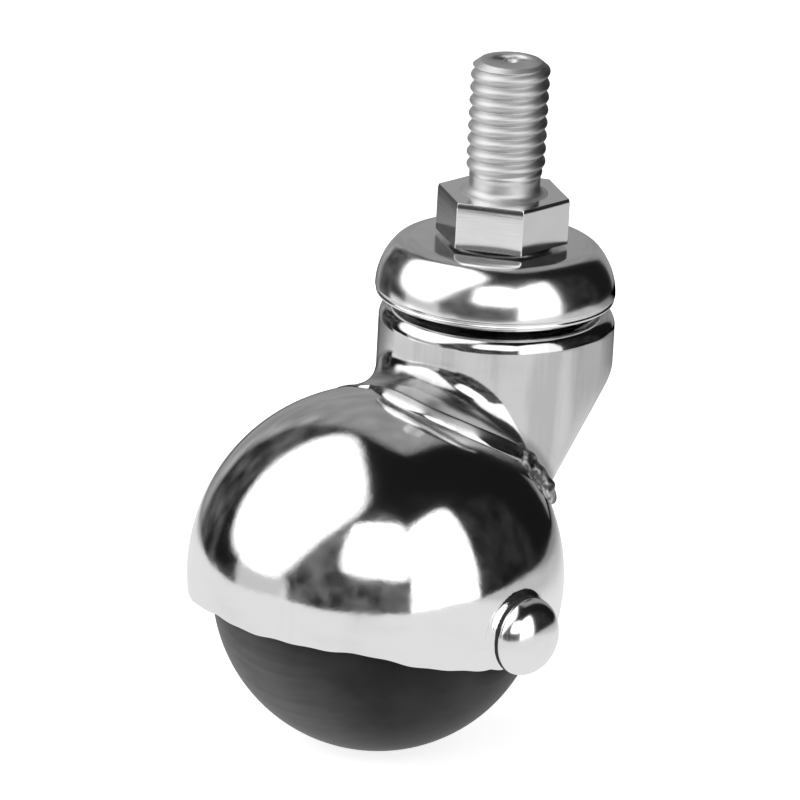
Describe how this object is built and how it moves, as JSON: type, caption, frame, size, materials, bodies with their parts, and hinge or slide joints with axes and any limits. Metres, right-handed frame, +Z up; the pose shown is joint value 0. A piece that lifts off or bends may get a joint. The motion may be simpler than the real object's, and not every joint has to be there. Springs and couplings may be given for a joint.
{
  "type": "hooded ball caster",
  "caption": "Swivel ball caster with a chromed steel hood and horn, a dark ball on a horizontal axle, and a threaded stem above a hexagon.",
  "frame": {"origin": "on the swivel axis, in the top face of the hexagon that seats against the furniture", "axes": "+Z up along the swivel axis and the stem; the ball trails toward -X; its axle lies along Y"},
  "size_m": [0.0563, 0.0536, 0.0812],
  "materials": {
    "zinc_plate": "satin bright zinc plate",
    "chrome_plate": "bright polished plate over drawn steel",
    "bearing_ball": "polished steel",
    "plain_steel": "plain turned steel",
    "ball_rubber": "satin charcoal"
  },
  "bodies": {
    "root": {"stem": "zinc_plate", "swivel_cap": "chrome_plate", "lower_race": "plain_steel"},
    "upper_balls": {"upper_race_ball_01": "bearing_ball", "upper_race_ball_02": "bearing_ball", "upper_race_ball_03": "bearing_ball", "upper_race_ball_04": "bearing_ball", "upper_race_ball_05": "bearing_ball", "upper_race_ball_06": "bearing_ball", "upper_race_ball_07": "bearing_ball", "upper_race_ball_08": "bearing_ball", "upper_race_ball_09": "bearing_ball", "upper_race_ball_10": "bearing_ball", "upper_race_ball_11": "bearing_ball", "upper_race_ball_12": "bearing_ball", "upper_race_ball_13": "bearing_ball", "upper_race_ball_14": "bearing_ball"},
    "lower_balls": {"lower_race_ball_01": "bearing_ball", "lower_race_ball_02": "bearing_ball", "lower_race_ball_03": "bearing_ball", "lower_race_ball_04": "bearing_ball", "lower_race_ball_05": "bearing_ball", "lower_race_ball_06": "bearing_ball", "lower_race_ball_07": "bearing_ball", "lower_race_ball_08": "bearing_ball", "lower_race_ball_09": "bearing_ball", "lower_race_ball_10": "bearing_ball", "lower_race_ball_11": "bearing_ball", "lower_race_ball_12": "bearing_ball"},
    "housing": {"horn": "chrome_plate", "hood": "chrome_plate", "axle": "plain_steel", "axle_cap_left": "chrome_plate", "axle_cap_right": "chrome_plate", "thrust_collar_left": "plain_steel", "thrust_collar_right": "plain_steel"},
    "wheel": {"ball_wheel": "ball_rubber", "wheel_bush": "plain_steel"}
  },
  "joints": [
    {"name": "swivel", "type": "hinge", "parent": "root", "child": "housing", "pos_m": [0, 0, 0], "axis": [0, 0, 1], "continuous": true},
    {"name": "upper_ring_orbit", "type": "hinge", "parent": "root", "child": "upper_balls", "pos_m": [0, 0, 0], "axis": [0, 0, 1], "continuous": true},
    {"name": "lower_ring_orbit", "type": "hinge", "parent": "root", "child": "lower_balls", "pos_m": [0, 0, 0], "axis": [0, 0, 1], "continuous": true},
    {"name": "wheel_spin", "type": "hinge", "parent": "housing", "child": "wheel", "pos_m": [-0.019, 0, -0.0453], "axis": [0, 1, 0], "continuous": true}
  ],
  "couplings": [
    {"joint": "upper_ring_orbit", "follows": "swivel", "ratio": 0.5},
    {"joint": "lower_ring_orbit", "follows": "swivel", "ratio": 0.5}
  ]
}
